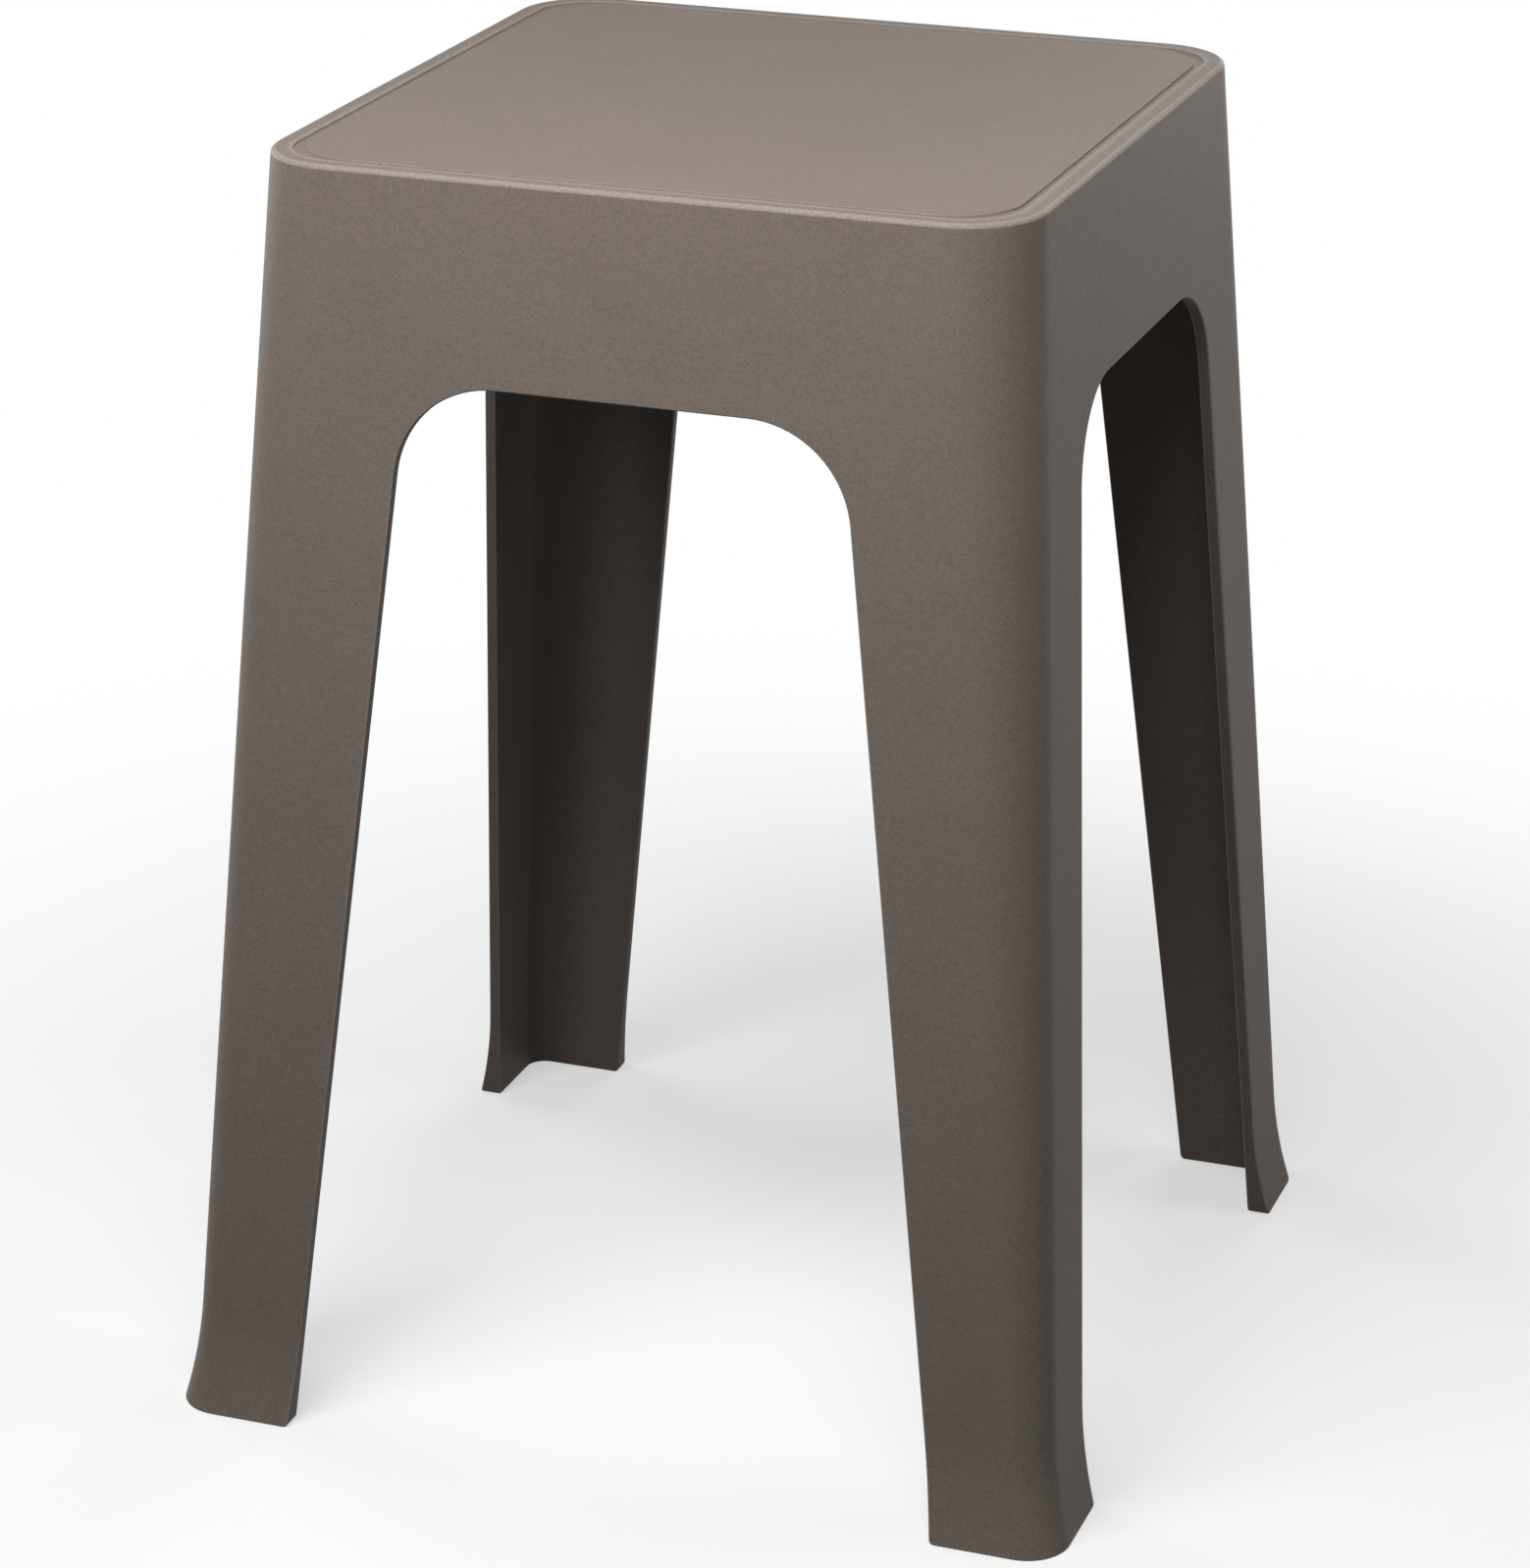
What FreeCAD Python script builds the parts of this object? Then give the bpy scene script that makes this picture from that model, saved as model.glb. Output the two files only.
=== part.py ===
import FreeCAD, Part

import math
import os
import sys

import Sketcher

# A one-piece moulded stacking stool, in its named regions.
# The frame is +Z up, the origin in the middle of the floor under the stool, and -Y the front.
# Lengths are in millimetres.
DIMENSIONS = {
    "total_height": 450.0,
    "seat_width": 266.0,
    "base_width": 320.0,
    "seat_corner_radius": 28.0,
    "floor_corner_radius": 11.5,
    "wall_thickness": 4.3,
    "seat_thickness": 4.3,
    "rim_radius": 3.6,
    "groove_inset": 5.2,
    "groove_width": 3.9,
    "groove_depth": 0.8,
    "panel_corner_radius": 24.5,
    "apron_depth": 69.0,
    "opening_top_width": 151.5,
    "opening_floor_width": 238.0,
    "opening_corner_radius": 36.0,
    "foot_height": 38.0,
    "foot_flare": 4.3,
    "rib_thickness": 2.4,
    "rib_depth": 14.0,
    "hub_radius": 15.0,
    "hub_wall": 2.4,
    "stacking_pitch": 76.0,
    "stop_thickness": 3.2,
    "stop_reach": 24.0,
}

SIDES = ("right", "back", "left", "front")
CORNERS = ("back_right", "back_left", "front_left", "front_right")
QUARTER_TURN = 90.0
UP = FreeCAD.Vector(0, 0, 1)
# Outlines that the loft of a flared foot passes through, above the one on the floor.
FLARE_STEPS = 4
# Tools run this far past what they cut.
OVERRUN = 20.0
# Two heights closer than this are the same height.
SAME_HEIGHT = 1e-6

doc = FreeCAD.newDocument("stool")


def make_sheet():
    sheet = doc.addObject("Spreadsheet::Sheet", "sizes")
    for row, (alias, value) in enumerate(DIMENSIONS.items(), start=1):
        sheet.set(f"A{row}", alias.replace("_", " "))
        sheet.set(f"B{row}", str(value))
        sheet.setAlias(f"B{row}", alias)
    doc.recompute()
    return sheet


sheet = make_sheet()


def size(alias):
    return float(getattr(sheet, alias))


def cell(alias):
    return f"sizes.{alias}"


def value_of(expression):
    """The number that an expression over the sheet gives now."""
    return float(sheet.evalExpression(expression.replace("sizes.", "")))


def tapered(top_alias, floor_alias, height):
    """The expression for a size that runs straight from the floor to the top, at a height."""
    top, floor = cell(top_alias), cell(floor_alias)
    return f"({top} + ({floor} - {top}) * (1 - ({height}) / {cell('total_height')}))"


def half_width_at(height):
    return f"{tapered('seat_width', 'base_width', height)} / 2"


def corner_radius_at(height):
    return tapered("seat_corner_radius", "floor_corner_radius", height)


SEAT_UNDERSIDE = f"({cell('total_height')} - {cell('seat_thickness')})"
OPENING_TOP = f"({cell('total_height')} - {cell('apron_depth')})"
# How far an arch's side leans outwards for each millimetre down.
OPENING_SLOPE = (
    f"(({cell('opening_floor_width')} - {cell('opening_top_width')}) / 2 / {OPENING_TOP})"
)
# Half the straight top of an arch, up to where its rounded corners start.
OPENING_FLAT = (
    f"({cell('opening_top_width')} / 2"
    f" - {cell('opening_corner_radius')} * tan((90 deg - atan({OPENING_SLOPE})) / 2))"
)
# Further out than any part of the stool.
OUTSIDE = f"({cell('base_width')} / 2 + {cell('foot_flare')} + {OVERRUN})"


def boolean(kind, name, base, tool):
    made = doc.addObject(kind, name)
    made.Base = base
    made.Tool = tool
    return made


def fuse(name, shapes):
    made = doc.addObject("Part::MultiFuse", name)
    made.Shapes = shapes
    return made


def block(name, lows, highs, turn=0.0):
    """A box between two corners given as expressions, turned about the stool's middle axis."""
    box = doc.addObject("Part::Box", name)
    box.Placement.Rotation = FreeCAD.Rotation(UP, turn)
    for prop, low, high in zip(("Length", "Width", "Height"), lows, highs):
        box.setExpression(prop, f"({high}) - ({low})")
    x, y, z = lows
    angle = f"{turn} deg"
    box.setExpression("Placement.Base.x", f"({x}) * cos({angle}) - ({y}) * sin({angle})")
    box.setExpression("Placement.Base.y", f"({x}) * sin({angle}) + ({y}) * cos({angle})")
    box.setExpression("Placement.Base.z", z)
    return box


def region(node, source, lows, highs, turn=0.0):
    """The part of a form that lies in one block."""
    made = boolean("Part::Common", node, source, block(f"{node}_block", lows, highs, turn))
    made.Label = node
    return made


class Corner:
    """The cone that rounds the corner between the right and back sides, which both lean in.

    The cone touches both sides along straight lines. Its axis runs through the centres of the
    corner's radius, set in from the sides by an inset.
    """

    def __init__(self, inset):
        height = size("total_height")
        half_top = size("seat_width") / 2 - inset
        half_floor = size("base_width") / 2 - inset
        radius_top = size("seat_corner_radius") - inset
        radius_floor = size("floor_corner_radius") - inset
        draft = math.atan((half_floor - half_top) / height)
        low_centre = FreeCAD.Vector(half_floor - radius_floor, half_floor - radius_floor, 0)
        high_centre = FreeCAD.Vector(half_top - radius_top, half_top - radius_top, height)
        line = high_centre - low_centre
        growth = math.asin((radius_top - radius_floor) * math.cos(draft) / line.Length)
        self.length = line.Length
        self.axis = line.normalize()
        self.start = low_centre
        self.low_radius = radius_floor * math.cos(draft) / math.cos(growth)
        self.slope = math.tan(growth)
        self.right_normal = FreeCAD.Vector(math.cos(draft), 0, math.sin(draft))
        self.back_normal = FreeCAD.Vector(0, math.cos(draft), math.sin(draft))
        reach_floor = radius_floor * math.cos(draft)
        reach_top = radius_top * math.cos(draft)
        self.touch_low = low_centre + self.right_normal * reach_floor
        self.touch_high = high_centre + self.right_normal * reach_top

    def flat_half_width(self, height):
        """Half the width of a side's flat face at a height, between the lines where cones touch."""
        low, high = self.touch_low, self.touch_high
        return low.y + (high.y - low.y) * (height - low.z) / (high.z - low.z)

    def across(self, normal):
        """The direction from the axis to the line where the cone touches a side."""
        return (normal - self.axis * normal.dot(self.axis)).normalize()


def slab(name, half_widths, half_depths, turn):
    """A block that runs through the stool between two opposite sides and leans in with them."""
    made = doc.addObject("Part::Wedge", name)
    height = cell("total_height")
    made.Ymin = 0
    made.setExpression("Ymax", height)
    (floor_half, top_half), (floor_depth, top_depth) = half_widths, half_depths
    for prop, value in (("Xmax", floor_half), ("X2max", top_half)):
        made.setExpression(prop, value)
        made.setExpression(prop.replace("max", "min"), f"-{value}")
    made.Zmin, made.Zmax = -floor_depth, floor_depth
    made.Z2min, made.Z2max = -top_depth, top_depth
    upright = FreeCAD.Rotation(FreeCAD.Vector(1, 0, 0), QUARTER_TURN)
    made.Placement.Rotation = FreeCAD.Rotation(UP, turn) * upright
    return made


def corner_cone(name, corner, turn):
    """The sector of the cone that shows at one corner, from the middle of its radius outwards."""
    made = doc.addObject("Part::Cone", name)
    made.Radius1 = corner.low_radius - OVERRUN * corner.slope
    made.Radius2 = corner.low_radius + (corner.length + OVERRUN) * corner.slope
    made.Height = corner.length + 2 * OVERRUN
    first = corner.across(corner.right_normal)
    last = corner.across(corner.back_normal)
    made.Angle = math.degrees(first.getAngle(last))
    upright = FreeCAD.Rotation(first, FreeCAD.Vector(), corner.axis, "ZXY")
    start = corner.start - corner.axis * OVERRUN
    turned = FreeCAD.Placement(FreeCAD.Vector(), FreeCAD.Rotation(UP, turn))
    made.Placement = turned.multiply(FreeCAD.Placement(start, upright))
    return made


def tapered_form(name, inset, lowest, ceiling):
    """The stool's leaning sides and rounded corners as a closed form between two heights."""
    corner = Corner(inset)
    half_widths = tuple(f"({cell(alias)} / 2 - {inset})" for alias in ("base_width", "seat_width"))
    flats = (corner.flat_half_width(0), corner.flat_half_width(size("total_height")))
    pieces = [
        slab(f"{name}_across", half_widths, flats, 0.0),
        slab(f"{name}_along", half_widths, flats, QUARTER_TURN),
    ]
    for number, place in enumerate(CORNERS):
        pieces.append(corner_cone(f"{name}_{place}", corner, number * QUARTER_TURN))
    lows = (f"-{OUTSIDE}", f"-{OUTSIDE}", lowest)
    room = block(f"{name}_room", lows, (OUTSIDE, OUTSIDE, ceiling))
    return boolean("Part::Common", name, fuse(f"{name}_whole", pieces), room)


def make_body(name):
    body = doc.addObject("PartDesign::Body", name)
    doc.recompute()
    return body


def attach(sketch, body, role, height=None):
    plane = next(feature for feature in body.Origin.OriginFeatures if feature.Role == role)
    sketch.AttachmentSupport = (plane, "")
    sketch.MapMode = "FlatFace"
    if height is not None:
        sketch.setExpression("AttachmentOffset.Base.z", height)


def drive(sketch, label, constraint, expression):
    """Add a named constraint whose value follows an expression over the sheet."""
    number = sketch.addConstraint(constraint)
    sketch.renameConstraint(number, label)
    sketch.setExpression(f"Constraints.{label}", expression)


def add_rounded_square(sketch, prefix, half_width, radius):
    """Draw a square with rounded corners about the sketch's origin, bound to two expressions."""
    half, bend = value_of(half_width), value_of(radius)
    flat = half - bend
    lines, arcs = [], []
    for turn in range(len(SIDES)):
        angle = math.radians(turn * QUARTER_TURN)
        along = FreeCAD.Vector(-math.sin(angle), math.cos(angle), 0)
        out = FreeCAD.Vector(math.cos(angle), math.sin(angle), 0)
        segment = Part.LineSegment(out * half - along * flat, out * half + along * flat)
        circle = Part.Circle((out + along) * flat, UP, bend)
        arc = Part.ArcOfCircle(circle, angle, angle + math.pi / 2)
        lines.append(sketch.addGeometry(segment, False))
        arcs.append(sketch.addGeometry(arc, False))
    for turn, line in enumerate(lines):
        after = lines[(turn + 1) % len(SIDES)]
        upright = turn % 2 == 0
        sketch.addConstraint(Sketcher.Constraint("Tangent", line, 2, arcs[turn], 1))
        sketch.addConstraint(Sketcher.Constraint("Tangent", arcs[turn], 2, after, 1))
        sketch.addConstraint(Sketcher.Constraint("Vertical" if upright else "Horizontal", line))
        ends = (-1, 1, line, 1) if turn < 2 else (line, 1, -1, 1)
        distance = Sketcher.Constraint("DistanceX" if upright else "DistanceY", *ends, half)
        drive(sketch, f"{prefix}_half_{turn}", distance, half_width)
    for other in arcs[1:]:
        sketch.addConstraint(Sketcher.Constraint("Equal", arcs[0], other))
    drive(sketch, f"{prefix}_corner", Sketcher.Constraint("Radius", arcs[0], bend), radius)


def round_rim(body):
    """Round the edge between the seat's flat top and its sides."""
    top = size("total_height")
    base = body.Tip
    rim = [
        f"Edge{number}"
        for number, edge in enumerate(base.Shape.Edges, start=1)
        if all(abs(vertex.Z - top) < SAME_HEIGHT for vertex in edge.Vertexes)
    ]
    fillet = body.newObject("PartDesign::Fillet", "rounded_rim")
    fillet.Base = (base, rim)
    fillet.setExpression("Radius", cell("rim_radius"))
    doc.recompute()


def add_groove(body):
    """Sink the shallow channel that runs round the seat, between its rim and its panel."""
    sketch = body.newObject("Sketcher::SketchObject", "groove_outline")
    attach(sketch, body, "XY_Plane", cell("total_height"))
    half_rim = f"({cell('seat_width')} / 2 - {cell('groove_inset')})"
    half_panel = f"({half_rim} - {cell('groove_width')})"
    rim_corner = f"({cell('seat_corner_radius')} - {cell('groove_inset')})"
    add_rounded_square(sketch, "rim", half_rim, rim_corner)
    add_rounded_square(sketch, "panel", half_panel, cell("panel_corner_radius"))
    before = body.Tip.Shape.Volume
    pocket = body.newObject("PartDesign::Pocket", "seat_groove")
    pocket.Profile = sketch
    pocket.Type = "Length"
    pocket.setExpression("Length", cell("groove_depth"))
    doc.recompute()
    if pocket.Shape.Volume >= before:
        sys.exit("the groove cuts nothing")


def make_seat_and_sides():
    """The outside above the feet: leaning sides, a rounded rim and the channel round the seat."""
    body = make_body("outer_form")
    heights = (cell("foot_height"), cell("total_height"))
    body.BaseFeature = tapered_form("tapered_sides", 0.0, *heights)
    doc.recompute()
    round_rim(body)
    add_groove(body)
    return body


def flared_section(body, step):
    """One outline of the flared foot: the flare fades out with the square of the height."""
    share = step / FLARE_STEPS
    height = f"{cell('foot_height')} * {share}"
    flare = f"{cell('foot_flare')} * {(1 - share) ** 2}"
    sketch = body.newObject("Sketcher::SketchObject", f"foot_section_{step}")
    attach(sketch, body, "XY_Plane", height)
    half_width = f"{half_width_at(height)} + {flare}"
    add_rounded_square(sketch, "outline", half_width, f"{corner_radius_at(height)} + {flare}")
    return sketch


def make_flared_feet():
    """The outside of all four feet in one closed form, flaring outwards to the floor."""
    body = make_body("foot_form")
    sections = [flared_section(body, step) for step in range(FLARE_STEPS + 1)]
    loft = body.newObject("PartDesign::AdditiveLoft", "flared_feet")
    loft.Profile = sections[0]
    loft.Sections = sections[1:]
    doc.recompute()
    return body


def draw_arch(sketch):
    """Draw an arch's outline: leaning sides, rounded corners, a flat top, open below the floor."""
    top, slope = value_of(OPENING_TOP), value_of(OPENING_SLOPE)
    bend = size("opening_corner_radius")
    lean = math.atan(slope)
    flat = value_of(OPENING_FLAT)
    low = size("opening_floor_width") / 2 + slope * OVERRUN
    middle = FreeCAD.Vector(flat, top - bend, 0)
    side_end = middle + FreeCAD.Vector(math.cos(lean), math.sin(lean), 0) * bend
    floor_end = FreeCAD.Vector(low, -OVERRUN, 0)
    flip = FreeCAD.Rotation(FreeCAD.Vector(0, 1, 0), 180)

    def mirrored(point):
        return flip.multVec(point)

    right_arc = Part.ArcOfCircle(Part.Circle(middle, UP, bend), lean, math.pi / 2)
    left_arc = Part.ArcOfCircle(Part.Circle(mirrored(middle), UP, bend), math.pi / 2, math.pi - lean)
    roof_end = FreeCAD.Vector(flat, top, 0)
    outline = (
        Part.LineSegment(mirrored(floor_end), floor_end),
        Part.LineSegment(floor_end, side_end),
        right_arc,
        Part.LineSegment(roof_end, mirrored(roof_end)),
        left_arc,
        Part.LineSegment(mirrored(side_end), mirrored(floor_end)),
    )
    base, right, bend_right, roof, bend_left, left = (sketch.addGeometry(g, False) for g in outline)
    for kind, first, second in (
        ("Coincident", base, right),
        ("Tangent", right, bend_right),
        ("Tangent", bend_right, roof),
        ("Tangent", roof, bend_left),
        ("Tangent", bend_left, left),
        ("Coincident", left, base),
    ):
        sketch.addConstraint(Sketcher.Constraint(kind, first, 2, second, 1))
    sketch.addConstraint(Sketcher.Constraint("Symmetric", base, 1, base, 2, -2))
    sketch.addConstraint(Sketcher.Constraint("Symmetric", right, 2, left, 1, -2))
    sketch.addConstraint(Sketcher.Constraint("Equal", bend_right, bend_left))
    sketch.addConstraint(Sketcher.Constraint("DistanceY", base, 1, -1, 1, OVERRUN))
    half_low = f"{cell('opening_floor_width')} / 2 + {OPENING_SLOPE} * {OVERRUN}"
    for label, constraint, expression in (
        ("corner", Sketcher.Constraint("Radius", bend_right, bend), cell("opening_corner_radius")),
        ("roof", Sketcher.Constraint("DistanceY", -1, 1, roof, 1, top), OPENING_TOP),
        ("half_low", Sketcher.Constraint("DistanceX", -1, 1, base, 2, low), half_low),
        (
            "lean",
            Sketcher.Constraint("Angle", right, math.pi / 2 + lean),
            f"90 deg + atan({OPENING_SLOPE})",
        ),
    ):
        drive(sketch, label, constraint, expression)


def make_arch(name, role):
    """The room of an arch between two legs and the one opposite, right through the stool."""
    body = make_body(name)
    sketch = body.newObject("Sketcher::SketchObject", f"{name}_outline")
    attach(sketch, body, role)
    draw_arch(sketch)
    pad = body.newObject("PartDesign::Pad", f"{name}_pad")
    pad.Profile = sketch
    pad.SideType = "Symmetric"
    pad.setExpression("Length", f"2 * {OUTSIDE}")
    doc.recompute()
    return body


def shell_regions(shell):
    """The seat, the aprons between the legs, and the legs of the one moulded shell."""
    minus_outside = f"-{OUTSIDE}"
    top = f"({cell('total_height')} + {OVERRUN})"
    lows = (minus_outside, minus_outside, SEAT_UNDERSIDE)
    nodes = [region("seat_panel", shell, lows, (OUTSIDE, OUTSIDE, top))]
    for number, side in enumerate(SIDES):
        lows = ("0", f"-{OPENING_FLAT}", "0")
        highs = (OUTSIDE, OPENING_FLAT, SEAT_UNDERSIDE)
        nodes.append(region(f"apron_{side}", shell, lows, highs, number * QUARTER_TURN))
    for number, corner in enumerate(CORNERS):
        lows = (OPENING_FLAT, OPENING_FLAT, f"-{OVERRUN}")
        highs = (OUTSIDE, OUTSIDE, SEAT_UNDERSIDE)
        nodes.append(region(f"leg_{corner}", shell, lows, highs, number * QUARTER_TURN))
    return nodes


def make_hub(under):
    """The ring under the middle of the seat, where the ribs meet."""
    tubes = []
    for name, radius in (
        ("hub_outside", cell("hub_radius")),
        ("hub_bore", f"{cell('hub_radius')} - {cell('hub_wall')}"),
    ):
        tube = doc.addObject("Part::Cylinder", name)
        tube.setExpression("Radius", radius)
        tube.setExpression("Height", cell("rib_depth"))
        tube.setExpression("Placement.Base.z", under)
        tubes.append(tube)
    hub = boolean("Part::Cut", "rib_hub", *tubes)
    hub.Label = "rib_hub"
    return hub, tubes[0]


def clear_of_hub(node, rib, hub_outside):
    trimmed = boolean("Part::Cut", node, rib, hub_outside)
    trimmed.Label = node
    return trimmed


def underside(cavity):
    """The ribs under the seat, and the corner webs that the next stool's seat stops against."""
    under_rib = f"{SEAT_UNDERSIDE} - {cell('rib_depth')}"
    under_stop = f"{cell('total_height')} - {cell('stacking_pitch')}"
    hub, hub_outside = make_hub(under_rib)
    nodes = [hub]
    half_rib = f"{cell('rib_thickness')} / 2"
    half_stop = f"{cell('stop_thickness')} / 2"
    middle = f"{cell('hub_radius')} / 2"
    past_corner = f"{OUTSIDE} * sqrt(2)"
    # A stop starts at its reach inside the cavity's corner, measured along the diagonal.
    half_width = f"({half_width_at(SEAT_UNDERSIDE)} - {cell('wall_thickness')})"
    radius = f"({corner_radius_at(SEAT_UNDERSIDE)} - {cell('wall_thickness')})"
    stop_start = f"(({half_width} - {radius}) * sqrt(2) + {radius} - {cell('stop_reach')})"
    for number, side in enumerate(SIDES):
        lows = (middle, f"-{half_rib}", under_rib)
        highs = (OUTSIDE, half_rib, SEAT_UNDERSIDE)
        rib = region(f"rib_{side}_full", cavity, lows, highs, number * QUARTER_TURN)
        nodes.append(clear_of_hub(f"rib_{side}", rib, hub_outside))
    for number, corner in enumerate(CORNERS):
        turn = (number + 0.5) * QUARTER_TURN
        lows = (middle, f"-{half_rib}", under_rib)
        rib = block(f"diagonal_{corner}_full", lows, (stop_start, half_rib, SEAT_UNDERSIDE), turn)
        nodes.append(clear_of_hub(f"diagonal_rib_{corner}", rib, hub_outside))
        lows = (stop_start, f"-{half_stop}", under_stop)
        highs = (past_corner, half_stop, SEAT_UNDERSIDE)
        nodes.append(region(f"stacking_stop_{corner}", cavity, lows, highs, turn))
    return nodes


def check(nodes):
    for thing in doc.Objects:
        if "Invalid" in thing.State or "Error" in thing.State:
            sys.exit(f"{thing.Label} is {thing.State}")
    for node in nodes:
        shape = node.Shape
        if shape.isNull() or not shape.isValid() or len(shape.Solids) != 1:
            sys.exit(f"{node.Label} is not one valid solid")


def write(nodes):
    os.makedirs("parts", exist_ok=True)
    for node in nodes:
        node.Shape.exportStep(os.path.join("parts", f"{node.Label}.step"))


def main():
    cavity = tapered_form("cavity_form", size("wall_thickness"), "0", SEAT_UNDERSIDE)
    arches = [make_arch("front_and_back_arches", "XZ_Plane"), make_arch("side_arches", "YZ_Plane")]
    hollow = fuse("hollow_form", [cavity] + arches)
    outside = fuse("outside_form", [make_seat_and_sides(), make_flared_feet()])
    nodes = shell_regions(boolean("Part::Cut", "moulded_shell", outside, hollow)) + underside(cavity)
    doc.recompute()
    check(nodes)
    write(nodes)


main()
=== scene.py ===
import math

import bmesh
import bpy
from mathutils import Matrix, Vector


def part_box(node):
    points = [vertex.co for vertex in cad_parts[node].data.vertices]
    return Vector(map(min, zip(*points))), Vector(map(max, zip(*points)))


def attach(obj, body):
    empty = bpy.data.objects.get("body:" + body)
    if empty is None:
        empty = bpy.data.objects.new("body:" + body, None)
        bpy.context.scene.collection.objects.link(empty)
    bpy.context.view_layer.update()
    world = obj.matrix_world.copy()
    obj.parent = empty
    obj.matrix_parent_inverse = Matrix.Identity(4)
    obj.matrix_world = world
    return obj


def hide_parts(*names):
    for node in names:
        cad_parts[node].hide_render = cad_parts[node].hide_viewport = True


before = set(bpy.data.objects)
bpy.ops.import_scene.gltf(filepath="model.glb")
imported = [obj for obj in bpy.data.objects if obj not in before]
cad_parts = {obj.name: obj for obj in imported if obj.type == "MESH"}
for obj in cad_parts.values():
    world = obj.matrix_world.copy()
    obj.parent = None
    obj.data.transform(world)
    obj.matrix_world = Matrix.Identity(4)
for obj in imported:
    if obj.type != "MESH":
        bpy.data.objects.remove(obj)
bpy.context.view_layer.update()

# Lengths are in metres, in the frame's own axes: +Z up, -Y the front.
MM = 0.001
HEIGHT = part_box("seat_panel")[1].z
SEAT_HALF = 133.0 * MM
BASE_HALF = 160.0 * MM
SEAT_CORNER = 28.0 * MM
FLOOR_CORNER = 11.5 * MM
WALL = 4.3 * MM
SEAT_THICKNESS = 4.3 * MM
RIM_RADIUS = 1.7 * MM
CEILING_FILLET = 2.5 * MM
FOOT_HEIGHT = 38.0 * MM
FOOT_FLARE = 4.3 * MM
APRON_DEPTH = 69.0 * MM
ARCH_TOP = HEIGHT - APRON_DEPTH
ARCH_TOP_HALF = 151.5 * MM / 2
ARCH_FLOOR_HALF = 238.0 * MM / 2
ARCH_CORNER = 36.0 * MM
EDGE_ROUNDING = 0.7 * MM
FOOT_CORNER_ROUNDING = 2.0 * MM
RIM_STRIP = 7.4 * MM
CHANNEL_WIDTH = 2.3 * MM
CHANNEL_DEPTH = 0.8 * MM
CHANNEL_WALL = 0.35 * MM
PANEL_CORNER = 24.0 * MM

QUARTER_TURN = math.pi / 2
ARCH_SLOPE = (ARCH_FLOOR_HALF - ARCH_TOP_HALF) / ARCH_TOP
ARCH_LEAN = math.atan(ARCH_SLOPE)
ARCH_FLAT = ARCH_TOP_HALF - ARCH_CORNER * math.tan((QUARTER_TURN - ARCH_LEAN) / 2)
ARCH_CENTRE_Z = ARCH_TOP - ARCH_CORNER
# The sides lean out by this angle, so the rim's rounding turns through that much less than a quarter.
DRAFT = math.atan((BASE_HALF - SEAT_HALF) / HEIGHT)
RIM_START = HEIGHT - RIM_RADIUS * (1 - math.sin(DRAFT))
CEILING = HEIGHT - SEAT_THICKNESS
CEILING_START = CEILING - CEILING_FILLET * (1 + math.sin(DRAFT))

# How finely each stretch of the mesh is divided.
SIDES = 4
CORNER_STEPS = 16
EDGE_STEPS = 4
SIDE_STEPS = 9
SOLE_CORNER_STEPS = 6
FOOT_STEPS = 8
LEG_STEPS = 16
RIM_STEPS = 10
STRIP_STEPS = 2
CHANNEL_WALL_STEPS = 6
CHANNEL_FLOOR_STEPS = 3
PANEL_STEPS = 12
CEILING_FILLET_STEPS = 6
# Of the steps round an arch's corner, so many face the side's upright border and the rest its top.
ARC_UPRIGHT_STEPS = 10
ARC_TOP_STEPS = 8
ARC_STEPS = ARC_UPRIGHT_STEPS + ARC_TOP_STEPS
ARCH_TOP_STEPS = 6
# Points nearer than this are one point.
WELD = 1e-7

# The edge's wear and painted highlight are read from its bend, as one over the radius in metres.
EDGE_WEAR_AND_HIGHLIGHT = "edge_wear_and_highlight"
WEAR_AND_HIGHLIGHT_STARTS = 200.0
WEAR_AND_HIGHLIGHT_FULL = 600.0

PLASTIC_DARKER = (0.176, 0.146, 0.126, 1.0)
PLASTIC_PALER = (0.2, 0.167, 0.145, 1.0)
# Paler colour on tight outward edges: partly wear, partly a painted highlight along the rim, channel
# and arch edges.
PLASTIC_WORN_AND_HIGHLIT = (0.36, 0.317, 0.282, 1.0)
PLASTIC_IOR = 1.49
PLASTIC_SPECULAR = 0.1
CLOUD_SCALE = 30.0
GRAIN_SCALE = 950.0
GRAIN_HEIGHT = 0.12 * MM
PIT_SCALE = 260.0
PIT_HEIGHT = 0.4 * MM

WHITE = (1.0, 1.0, 1.0, 1.0)
# The floor is pale where it is seen and dark to the light that it would throw back at the stool.
FLOOR_SIZE = 30.0
FLOOR_SEEN = (0.92, 0.92, 0.92, 1.0)
FLOOR_BOUNCE = (0.1, 0.1, 0.1, 1.0)
FLOOR_GLOW = 0.5
FADE_START = 0.25
FADE_END = 0.75
WORLD_STRENGTH = 0.03

# Each softbox: where it hangs, how wide and high it is, and its power in watts.
AIM = (0.0, 0.0, 0.25)
SOFTBOXES = {
    "left_key": ((-0.24, -0.64, 1.17), (0.5, 0.5), 7.4),
    "front_key": ((0.12, -0.6, 1.07), (0.5, 0.5), 5.5),
    "right_fill": ((0.8, 0.14, 0.85), (0.4, 0.4), 1.9),
    "left_fill": ((-1.3, 0.45, 0.5), (0.8, 0.5), 7.0),
    "back_fill": ((0.18, 1.4, 0.47), (0.8, 0.5), 7.0),
}

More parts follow.
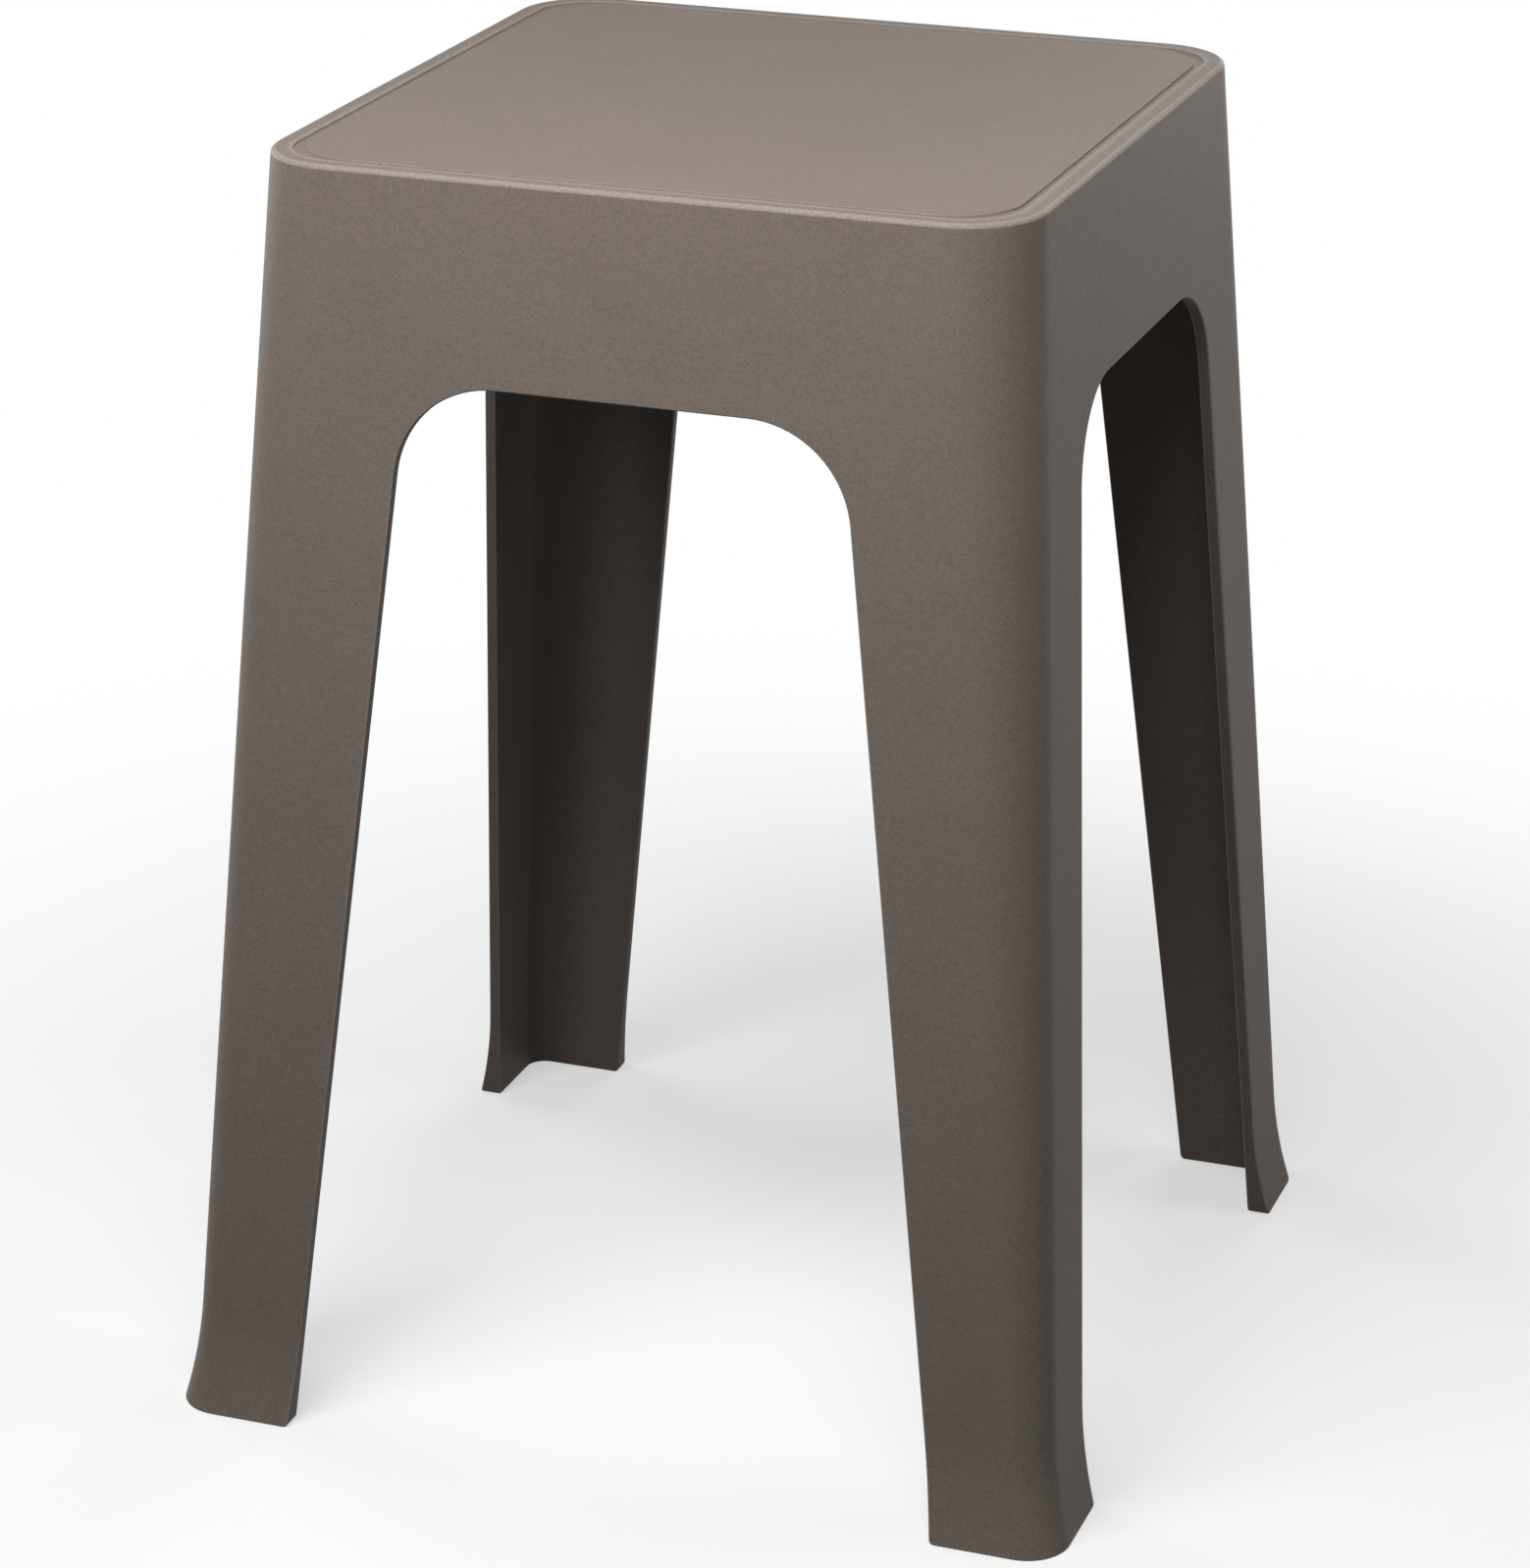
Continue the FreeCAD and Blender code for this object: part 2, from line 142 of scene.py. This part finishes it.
# The photograph's viewpoint, in degrees and metres, and its focal length over its long side.
CAMERA_TURN = 19.79
CAMERA_DOWN = 21.35
CAMERA_ROLL = 0.11
CAMERA_PLACE = (565.7 * MM, -1569.9 * MM, 852.0 * MM)
FOCAL_PIXELS = 5079.0
LONG_SIDE_PIXELS = 1598.0
SENSOR_WIDTH = 36.0


def steps(count):
    """Shares from 0 to 1 in so many equal steps."""
    return [i / count for i in range(count + 1)]


def mix(a, b, share):
    return a + (b - a) * share


def share_down(z):
    """0 at the seat's top and 1 on the floor."""
    return 1 - z / HEIGHT


def half_width(z):
    """Half the stool's width at a height, without the flare of the feet."""
    return SEAT_HALF + (BASE_HALF - SEAT_HALF) * share_down(z)


def straight(z):
    """Half the straight stretch of a side, between its two rounded corners."""
    return half_width(z) - (SEAT_CORNER + (FLOOR_CORNER - SEAT_CORNER) * share_down(z))


def outside(z):
    """Half the width of the outer skin, with the flare of the feet."""
    low = max(0.0, 1 - z / FOOT_HEIGHT)
    return half_width(z) + FOOT_FLARE * low * low


def inside(z):
    """Half the width of the inner skin."""
    return half_width(z) - WALL


class EdgePoint:
    """A point of an arch's edge: where the skins end, and the way from there into the wall."""

    def __init__(self, u, z, into_u, into_z):
        self.u, self.z = u, z
        self.into = (into_u, into_z)


def foot_corner_points():
    """The rounded corner between the sole and the arch's leaning side."""
    points = []
    radius = FOOT_CORNER_ROUNDING
    reach = radius - EDGE_ROUNDING
    centre_u = ARCH_FLOOR_HALF - ARCH_SLOPE * radius + radius / math.cos(ARCH_LEAN)
    for share in steps(SOLE_CORNER_STEPS):
        angle = mix(QUARTER_TURN, ARCH_LEAN, share)
        into = (math.cos(angle), math.sin(angle))
        points.append(EdgePoint(centre_u - into[0] * reach, radius - into[1] * reach, *into))
    return points


def arc_points():
    """The arch's rounded upper corner."""
    points = []
    reach = ARCH_CORNER + EDGE_ROUNDING
    for share in steps(ARC_STEPS):
        angle = mix(ARCH_LEAN, QUARTER_TURN, share)
        into = (math.cos(angle), math.sin(angle))
        points.append(EdgePoint(ARCH_FLAT + into[0] * reach, ARCH_CENTRE_Z + into[1] * reach, *into))
    return points


def leaning_points(low, high):
    """The straight leaning side between the two corners, finer where the foot flares."""
    heights = [mix(low.z, FOOT_HEIGHT, share) for share in steps(FOOT_STEPS)[1:]]
    heights += [mix(FOOT_HEIGHT, high.z, share) for share in steps(LEG_STEPS)[1:-1]]
    points = []
    for z in heights:
        share = (z - low.z) / (high.z - low.z)
        points.append(EdgePoint(mix(low.u, high.u, share), z, *low.into))
    return points


def arch_edge():
    """Half an arch's edge, from the foot's rounded corner up to the middle of the arch's top."""
    foot, arc = foot_corner_points(), arc_points()
    points = foot + leaning_points(foot[-1], arc[0]) + arc
    for share in steps(ARCH_TOP_STEPS)[1:]:
        points.append(EdgePoint(mix(ARCH_FLAT, 0.0, share), ARCH_TOP + EDGE_ROUNDING, 0.0, 1.0))
    return points


EDGE = arch_edge()
ARC_START = len(EDGE) - ARCH_TOP_STEPS - ARC_STEPS - 1


def border_points(top):
    """The side's border opposite each edge point: up beside the corner, then in along the top."""
    points = []
    start = EDGE[ARC_START].z
    for index, edge in enumerate(EDGE):
        past = index - ARC_START
        if past <= 0:
            points.append((straight(edge.z), edge.z))
        elif past <= ARC_UPRIGHT_STEPS:
            z = mix(start, top, past / ARC_UPRIGHT_STEPS)
            points.append((straight(z), z))
        elif past <= ARC_STEPS:
            share = (past - ARC_UPRIGHT_STEPS) / ARC_TOP_STEPS
            points.append((mix(straight(top), ARCH_FLAT, share), top))
        else:
            points.append((edge.u, top))
    return points


def at_side(side, u, out, z):
    """The place at u along a side, out from the stool's middle; side 0 is the front."""
    angle = side * QUARTER_TURN
    x, y = u, -out
    return (x * math.cos(angle) - y * math.sin(angle), x * math.sin(angle) + y * math.cos(angle), z)


def at_corner(side, share, centre, radius, z):
    """The place on the rounded corner that follows a side, at a share of its quarter turn."""
    turn = share * QUARTER_TURN
    return at_side(side, centre + radius * math.sin(turn), centre + radius * math.cos(turn), z)


def edge_wear_and_highlight(vert):
    """How much wear and painted highlight a point gets: 0 on the flat, 1 on an outward bend about as
    tight as the rim's.
    """
    tightest = 0.0
    for edge in vert.link_edges:
        if len(edge.link_faces) == 2:
            a, b = edge.link_faces
            gap = (a.calc_center_median() - b.calc_center_median()).length
            tightest = max(tightest, edge.calc_face_angle_signed(0.0) / max(gap, WELD))
    return min(1.0, max(0.0, (tightest - WEAR_AND_HIGHLIGHT_STARTS) / (WEAR_AND_HIGHLIGHT_FULL - WEAR_AND_HIGHLIGHT_STARTS)))


class ShellMesh:
    """Quads over a growing list of points. Points that fall together are welded at the end."""

    def __init__(self):
        self.points, self.faces = [], []

    def add_grid(self, rows):
        """Fills the space between rows of equally many points with quads."""
        base = len(self.points)
        width = len(rows[0])
        for row in rows:
            self.points.extend(row)
        for i in range(len(rows) - 1):
            for j in range(width - 1):
                a = base + i * width + j
                self.faces.append((a, a + 1, a + width + 1, a + width))

    def build(self, name):
        """Welds the quads into one closed smooth mesh that carries its edge wear and painted
        highlight.
        """
        mesh = bpy.data.meshes.new(name)
        mesh.from_pydata(self.points, [], self.faces)
        work = bmesh.new()
        work.from_mesh(mesh)
        bmesh.ops.remove_doubles(work, verts=work.verts, dist=WELD)
        bmesh.ops.dissolve_degenerate(work, edges=work.edges, dist=WELD)
        bmesh.ops.recalc_face_normals(work, faces=work.faces)
        wear_and_highlight = work.verts.layers.float.new(EDGE_WEAR_AND_HIGHLIGHT)
        for vert in work.verts:
            vert[wear_and_highlight] = edge_wear_and_highlight(vert)
        work.to_mesh(mesh)
        work.free()
        mesh.polygons.foreach_set("use_smooth", [True] * len(mesh.polygons))
        piece = bpy.data.objects.new(name, mesh)
        bpy.context.scene.collection.objects.link(piece)
        return piece


def add_side(shell, side, skin, top):
    """One side's skin, from the arch's edge out to its border, in two mirrored halves."""
    border = border_points(top)
    for mirror in (-1, 1):
        rows = []
        for share in steps(SIDE_STEPS):
            row = []
            for edge, (border_u, border_z) in zip(EDGE, border):
                u, z = mix(edge.u, border_u, share), mix(edge.z, border_z, share)
                row.append(at_side(side, mirror * u, skin(z), z))
            rows.append(row)
        shell.add_grid(rows)


def add_corner(shell, side, skin, top):
    """The rounded corner's skin, from the sole up to the seat."""
    rows = []
    for u, z in border_points(top)[: ARC_START + ARC_UPRIGHT_STEPS + 1]:
        rows.append([at_corner(side, share, u, skin(z) - u, z) for share in steps(CORNER_STEPS)])
    shell.add_grid(rows)


def edge_profile():
    """The wall's edge from the outer skin to the inner one, as (drop, depth, is outer) rows.

    The drop is how far the row lies past the skins' ends, and the depth how far inside its skin.
    """
    outer = []
    for share in steps(EDGE_STEPS):
        angle = share * QUARTER_TURN
        outer.append((EDGE_ROUNDING * math.sin(angle), EDGE_ROUNDING * (1 - math.cos(angle))))
    rows = [(drop, depth, True) for drop, depth in outer]
    rows += [(drop, depth, False) for drop, depth in reversed(outer)]
    return rows


def edge_place(z, depth, is_outer):
    """How far out from the stool's middle a row of the edge lies."""
    return outside(z) - depth if is_outer else inside(z) + depth


def add_arch_edges(shell, side):
    """The wall's thickness along an arch, with both its edges rounded."""
    for mirror in (-1, 1):
        rows = []
        for drop, depth, is_outer in edge_profile():
            row = []
            for edge in EDGE:
                u, z = edge.u - edge.into[0] * drop, edge.z - edge.into[1] * drop
                row.append(at_side(side, mirror * u, edge_place(z, depth, is_outer), z))
            rows.append(row)
        shell.add_grid(rows)


def add_soles(shell, side):
    """The sole under a side's two feet and under the corner that follows the side."""
    start, end = EDGE[0].u, straight(EDGE_ROUNDING)
    for mirror in (-1, 1):
        rows = []
        for drop, depth, is_outer in edge_profile():
            z = EDGE_ROUNDING - drop
            out = edge_place(z, depth, is_outer)
            shares = steps(SIDE_STEPS)
            rows.append([at_side(side, mirror * mix(start, end, share), out, z) for share in shares])
        shell.add_grid(rows)
    rows = []
    for drop, depth, is_outer in edge_profile():
        z = EDGE_ROUNDING - drop
        radius = edge_place(z, depth, is_outer) - end
        rows.append([at_corner(side, share, end, radius, z) for share in steps(CORNER_STEPS)])
    shell.add_grid(rows)


def ring(half, bend, z, along):
    """A rounded square about the middle axis, as one closed row of points."""
    centre = half - bend
    row = []
    for side in range(SIDES):
        row += [at_side(side, share * centre, half, z) for share in along]
        row += [at_corner(side, share, centre, bend, z) for share in steps(CORNER_STEPS)[1:-1]]
    row.append(row[0])
    return row


def top_shares(top):
    """Where the points of a side's top border lie, as shares of its straight half."""
    right = [u / straight(top) for u, z in border_points(top)[ARC_START + ARC_UPRIGHT_STEPS:]]
    return [-share for share in right[:-1]] + list(reversed(right))


def eased(share):
    """The share with a gentle start and end."""
    return share * share * (3 - 2 * share)


def fillet_rings(along, top, radius, start_angle, start_half, count):
    """A rounding that begins at a leaning wall and ends level, at the height called top."""
    rings = []
    centre_z = top - radius
    centre_out = start_half - radius * math.cos(DRAFT)
    for share in steps(count):
        angle = mix(start_angle, QUARTER_TURN, share)
        z = centre_z + radius * math.sin(angle)
        half = centre_out + radius * math.cos(angle)
        rings.append(ring(half, half - straight(z), z, along))
    return rings


def rim_rings(along):
    """The rounding between the sides and the seat's top."""
    return fillet_rings(along, HEIGHT, RIM_RADIUS, DRAFT, half_width(RIM_START), RIM_STEPS)


def channel_rings(along):
    """The strip inside the rim, then the channel's outer wall, its floor and its inner wall."""
    rings = []
    channel_in = RIM_STRIP + CHANNEL_WIDTH
    for share in steps(STRIP_STEPS):
        inset = mix(RIM_RADIUS, RIM_STRIP - CHANNEL_WALL, share)
        rings.append(ring(SEAT_HALF - inset, SEAT_CORNER - inset, HEIGHT, along))
    for share in steps(CHANNEL_WALL_STEPS)[1:]:
        inset = RIM_STRIP - CHANNEL_WALL * (1 - share)
        z = HEIGHT - CHANNEL_DEPTH * eased(share)
        rings.append(ring(SEAT_HALF - inset, SEAT_CORNER - inset, z, along))
    floor_z = HEIGHT - CHANNEL_DEPTH
    for share in steps(CHANNEL_FLOOR_STEPS)[1:]:
        inset = mix(RIM_STRIP, channel_in - CHANNEL_WALL, share)
        bend = mix(SEAT_CORNER - RIM_STRIP, PANEL_CORNER + CHANNEL_WALL, share)
        rings.append(ring(SEAT_HALF - inset, bend, floor_z, along))
    for share in steps(CHANNEL_WALL_STEPS)[1:]:
        gap = CHANNEL_WALL * (1 - share)
        z = floor_z + CHANNEL_DEPTH * eased(share)
        rings.append(ring(SEAT_HALF - channel_in + gap, PANEL_CORNER + gap, z, along))
    return rings


def flat_rings(half, bend, z, along):
    """Rounded squares that shrink from a first one, left out here, to the middle."""
    shares = steps(PANEL_STEPS)[1:]
    return [ring(half * (1 - share), bend * (1 - share), z, along) for share in shares]


def panel_rings(along):
    """The seat's flat panel inside the channel."""
    return flat_rings(SEAT_HALF - RIM_STRIP - CHANNEL_WIDTH, PANEL_CORNER, HEIGHT, along)


def ceiling_rings(along):
    """The seat's underside: the fillet where the walls meet it, then flat to the middle."""
    start_half = inside(CEILING_START)
    rings = fillet_rings(
        along, CEILING, CEILING_FILLET, -DRAFT, start_half, CEILING_FILLET_STEPS
    )
    flat_half = start_half - CEILING_FILLET * math.cos(DRAFT)
    return rings + flat_rings(flat_half, flat_half - straight(CEILING), CEILING, along)


def make_shell():
    """The seat, its four sides and the four legs as one moulding."""
    shell = ShellMesh()
    for side in range(SIDES):
        add_side(shell, side, outside, RIM_START)
        add_side(shell, side, inside, CEILING_START)
        add_corner(shell, side, outside, RIM_START)
        add_corner(shell, side, inside, CEILING_START)
        add_arch_edges(shell, side)
        add_soles(shell, side)
    along = top_shares(RIM_START)
    shell.add_grid(rim_rings(along) + channel_rings(along) + panel_rings(along))
    shell.add_grid(ceiling_rings(top_shares(CEILING_START)))
    piece = shell.build("moulded_shell")
    weigh = piece.modifiers.new("face_weighted_normals", "WEIGHTED_NORMAL")
    weigh.keep_sharp = False
    return piece


def node(tree, kind, **values):
    """A new shader node. Each value is an input socket's where it has one, else a setting."""
    made = tree.nodes.new(kind)
    for name, value in values.items():
        if name in made.inputs:
            made.inputs[name].default_value = value
        else:
            setattr(made, name, value)
    return made


def set_range(map_range, **limits):
    """Sets a Map Range node's limits, named as from_min, from_max, to_min and to_max."""
    for name, value in limits.items():
        map_range.inputs[name.replace("_", " ").title()].default_value = value


def plastic_colour(tree, cloud, grain):
    """Cloudy colour with darker and paler grain, paler along the edges: partly wear, partly a painted
    highlight.
    """
    link = tree.links.new
    colour = node(tree, "ShaderNodeMix", data_type="RGBA", A=PLASTIC_DARKER, B=PLASTIC_PALER)
    link(cloud.outputs["Fac"], colour.inputs["Factor"])
    speck = node(tree, "ShaderNodeMapRange")
    set_range(speck, from_min=0.3, from_max=0.7, to_min=0.86, to_max=1.14)
    link(grain.outputs["Fac"], speck.inputs["Value"])
    grained = node(tree, "ShaderNodeVectorMath", operation="SCALE")
    link(colour.outputs["Result"], grained.inputs[0])
    link(speck.outputs["Result"], grained.inputs["Scale"])
    # The edges are painted paler: partly wear, partly a painted highlight.
    wear_and_highlight = node(tree, "ShaderNodeAttribute", attribute_name=EDGE_WEAR_AND_HIGHLIGHT)
    rubbed_and_highlit = node(tree, "ShaderNodeMath", operation="MULTIPLY")
    link(wear_and_highlight.outputs["Fac"], rubbed_and_highlit.inputs[0])
    link(grain.outputs["Fac"], rubbed_and_highlit.inputs[1])
    worn_and_highlit = node(tree, "ShaderNodeMix", data_type="RGBA", B=PLASTIC_WORN_AND_HIGHLIT)
    link(rubbed_and_highlit.outputs["Value"], worn_and_highlit.inputs["Factor"])
    link(grained.outputs["Vector"], worn_and_highlit.inputs["A"])
    return worn_and_highlit.outputs["Result"]


def plastic_relief(tree, grain, pits):
    """The moulded grain's bumps, over wider and shallower pits."""
    link = tree.links.new
    fine = node(tree, "ShaderNodeBump", Strength=0.7, Distance=GRAIN_HEIGHT)
    link(grain.outputs["Fac"], fine.inputs["Height"])
    coarse = node(tree, "ShaderNodeBump", Strength=0.12, Distance=PIT_HEIGHT)
    link(pits.outputs["Distance"], coarse.inputs["Height"])
    link(fine.outputs["Normal"], coarse.inputs["Normal"])
    return coarse.outputs["Normal"]


def moulded_plastic():
    """Matte moulded plastic: a fine grain, a cloudy colour, uneven gloss and paler edges that are
    partly wear and partly a painted highlight.
    """
    material = bpy.data.materials.new("moulded_plastic")
    material.use_nodes = True
    tree = material.node_tree
    tree.nodes.clear()
    link = tree.links.new
    shader = node(tree, "ShaderNodeBsdfPrincipled", IOR=PLASTIC_IOR)
    shader.inputs["Specular IOR Level"].default_value = PLASTIC_SPECULAR
    place = node(tree, "ShaderNodeTexCoord")
    cloud = node(tree, "ShaderNodeTexNoise", Scale=CLOUD_SCALE, Detail=4.0, Roughness=0.6)
    grain = node(tree, "ShaderNodeTexNoise", Scale=GRAIN_SCALE, Detail=3.0, Roughness=0.65)
    pits = node(tree, "ShaderNodeTexVoronoi", Scale=PIT_SCALE)
    for texture in (cloud, grain, pits):
        link(place.outputs["Object"], texture.inputs["Vector"])
    gloss = node(tree, "ShaderNodeMapRange")
    set_range(gloss, to_min=0.48, to_max=0.62)
    link(grain.outputs["Fac"], gloss.inputs["Value"])
    link(gloss.outputs["Result"], shader.inputs["Roughness"])
    link(plastic_colour(tree, cloud, grain), shader.inputs["Base Color"])
    link(plastic_relief(tree, grain, pits), shader.inputs["Normal"])
    link(shader.outputs["BSDF"], node(tree, "ShaderNodeOutputMaterial").inputs["Surface"])
    return material


def add_camera():
    """The photograph's viewpoint: turned, tilted down and rolled a little, with no lens shift."""
    data = bpy.data.cameras.new("camera")
    data.sensor_width = SENSOR_WIDTH
    data.lens = FOCAL_PIXELS * SENSOR_WIDTH / LONG_SIDE_PIXELS
    camera = bpy.data.objects.new("camera", data)
    turned = Matrix.Rotation(math.radians(CAMERA_TURN), 4, "Z")
    tilted = Matrix.Rotation(QUARTER_TURN - math.radians(CAMERA_DOWN), 4, "X")
    rolled = Matrix.Rotation(math.radians(CAMERA_ROLL), 4, "Z")
    camera.matrix_world = Matrix.Translation(CAMERA_PLACE) @ turned @ tilted @ rolled
    bpy.context.scene.collection.objects.link(camera)
    bpy.context.scene.camera = camera


def add_lights():
    """The softboxes, each turned to the stool's middle."""
    for name, (place, size, watts) in SOFTBOXES.items():
        data = bpy.data.lights.new(name, "AREA")
        data.shape = "RECTANGLE"
        data.size, data.size_y = size
        data.energy = watts
        light = bpy.data.objects.new(name, data)
        light.location = place
        light.rotation_euler = (Vector(AIM) - Vector(place)).to_track_quat("-Z", "Y").to_euler()
        bpy.context.scene.collection.objects.link(light)


def seen_rays(tree):
    """1 for rays that the viewer, gloss or glass sees, and 0 for the light that bounces on."""
    rays = node(tree, "ShaderNodeLightPath")
    seen = rays.outputs["Is Camera Ray"]
    for kind in ("Is Glossy Ray", "Is Transmission Ray"):
        either = node(tree, "ShaderNodeMath", operation="MAXIMUM")
        tree.links.new(seen, either.inputs[0])
        tree.links.new(rays.outputs[kind], either.inputs[1])
        seen = either.outputs["Value"]
    return seen


def floor_fade(tree, seen):
    """How much plain white shows: some near the stool, where its shadow falls, and all further off."""
    link = tree.links.new
    place = node(tree, "ShaderNodeTexCoord")
    length = node(tree, "ShaderNodeVectorMath", operation="LENGTH")
    fade = node(tree, "ShaderNodeMapRange", interpolation_type="SMOOTHSTEP")
    set_range(fade, from_min=FADE_START, from_max=FADE_END, to_min=FLOOR_GLOW)
    share = node(tree, "ShaderNodeMath", operation="MULTIPLY")
    link(place.outputs["Object"], length.inputs[0])
    link(length.outputs["Value"], fade.inputs["Value"])
    link(fade.outputs["Result"], share.inputs[0])
    link(seen, share.inputs[1])
    return share.outputs["Value"]


def add_floor():
    """A pale floor that keeps the shadow near the stool and is plain white further off."""
    bpy.ops.mesh.primitive_plane_add(size=FLOOR_SIZE)
    floor = bpy.context.object
    floor.name = "floor"
    material = bpy.data.materials.new("floor")
    material.use_nodes = True
    tree = material.node_tree
    tree.nodes.clear()
    link = tree.links.new
    seen = seen_rays(tree)
    colour = node(tree, "ShaderNodeMix", data_type="RGBA", A=FLOOR_BOUNCE, B=FLOOR_SEEN)
    link(seen, colour.inputs["Factor"])
    paint = node(tree, "ShaderNodeBsdfDiffuse")
    link(colour.outputs["Result"], paint.inputs["Color"])
    white = node(tree, "ShaderNodeEmission", Color=WHITE, Strength=1.0)
    blend = node(tree, "ShaderNodeMixShader")
    link(floor_fade(tree, seen), blend.inputs["Fac"])
    link(paint.outputs["BSDF"], blend.inputs[1])
    link(white.outputs["Emission"], blend.inputs[2])
    link(blend.outputs["Shader"], node(tree, "ShaderNodeOutputMaterial").inputs["Surface"])
    floor.data.materials.append(material)


def add_world():
    """White where it is seen, and a faint even light otherwise."""
    world = bpy.data.worlds.new("studio")
    bpy.context.scene.world = world
    world.use_nodes = True
    tree = world.node_tree
    tree.nodes.clear()
    strength = node(tree, "ShaderNodeMapRange")
    set_range(strength, to_min=WORLD_STRENGTH, to_max=1.0)
    background = node(tree, "ShaderNodeBackground", Color=WHITE)
    out = node(tree, "ShaderNodeOutputWorld")
    tree.links.new(seen_rays(tree), strength.inputs["Value"])
    tree.links.new(strength.outputs["Result"], background.inputs["Strength"])
    tree.links.new(background.outputs["Background"], out.inputs["Surface"])


def main():
    plastic = moulded_plastic()
    shell = make_shell()
    shell.data.materials.append(plastic)
    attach(shell, "root")
    shell_nodes = [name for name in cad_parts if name.startswith(("seat_", "apron_", "leg_"))]
    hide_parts(*sorted(shell_nodes))
    for name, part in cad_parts.items():
        if name not in shell_nodes:
            part.data.materials.clear()
            part.data.materials.append(plastic)
    add_camera()
    add_lights()
    add_floor()
    add_world()
    bpy.context.scene.view_settings.view_transform = "Standard"


main()
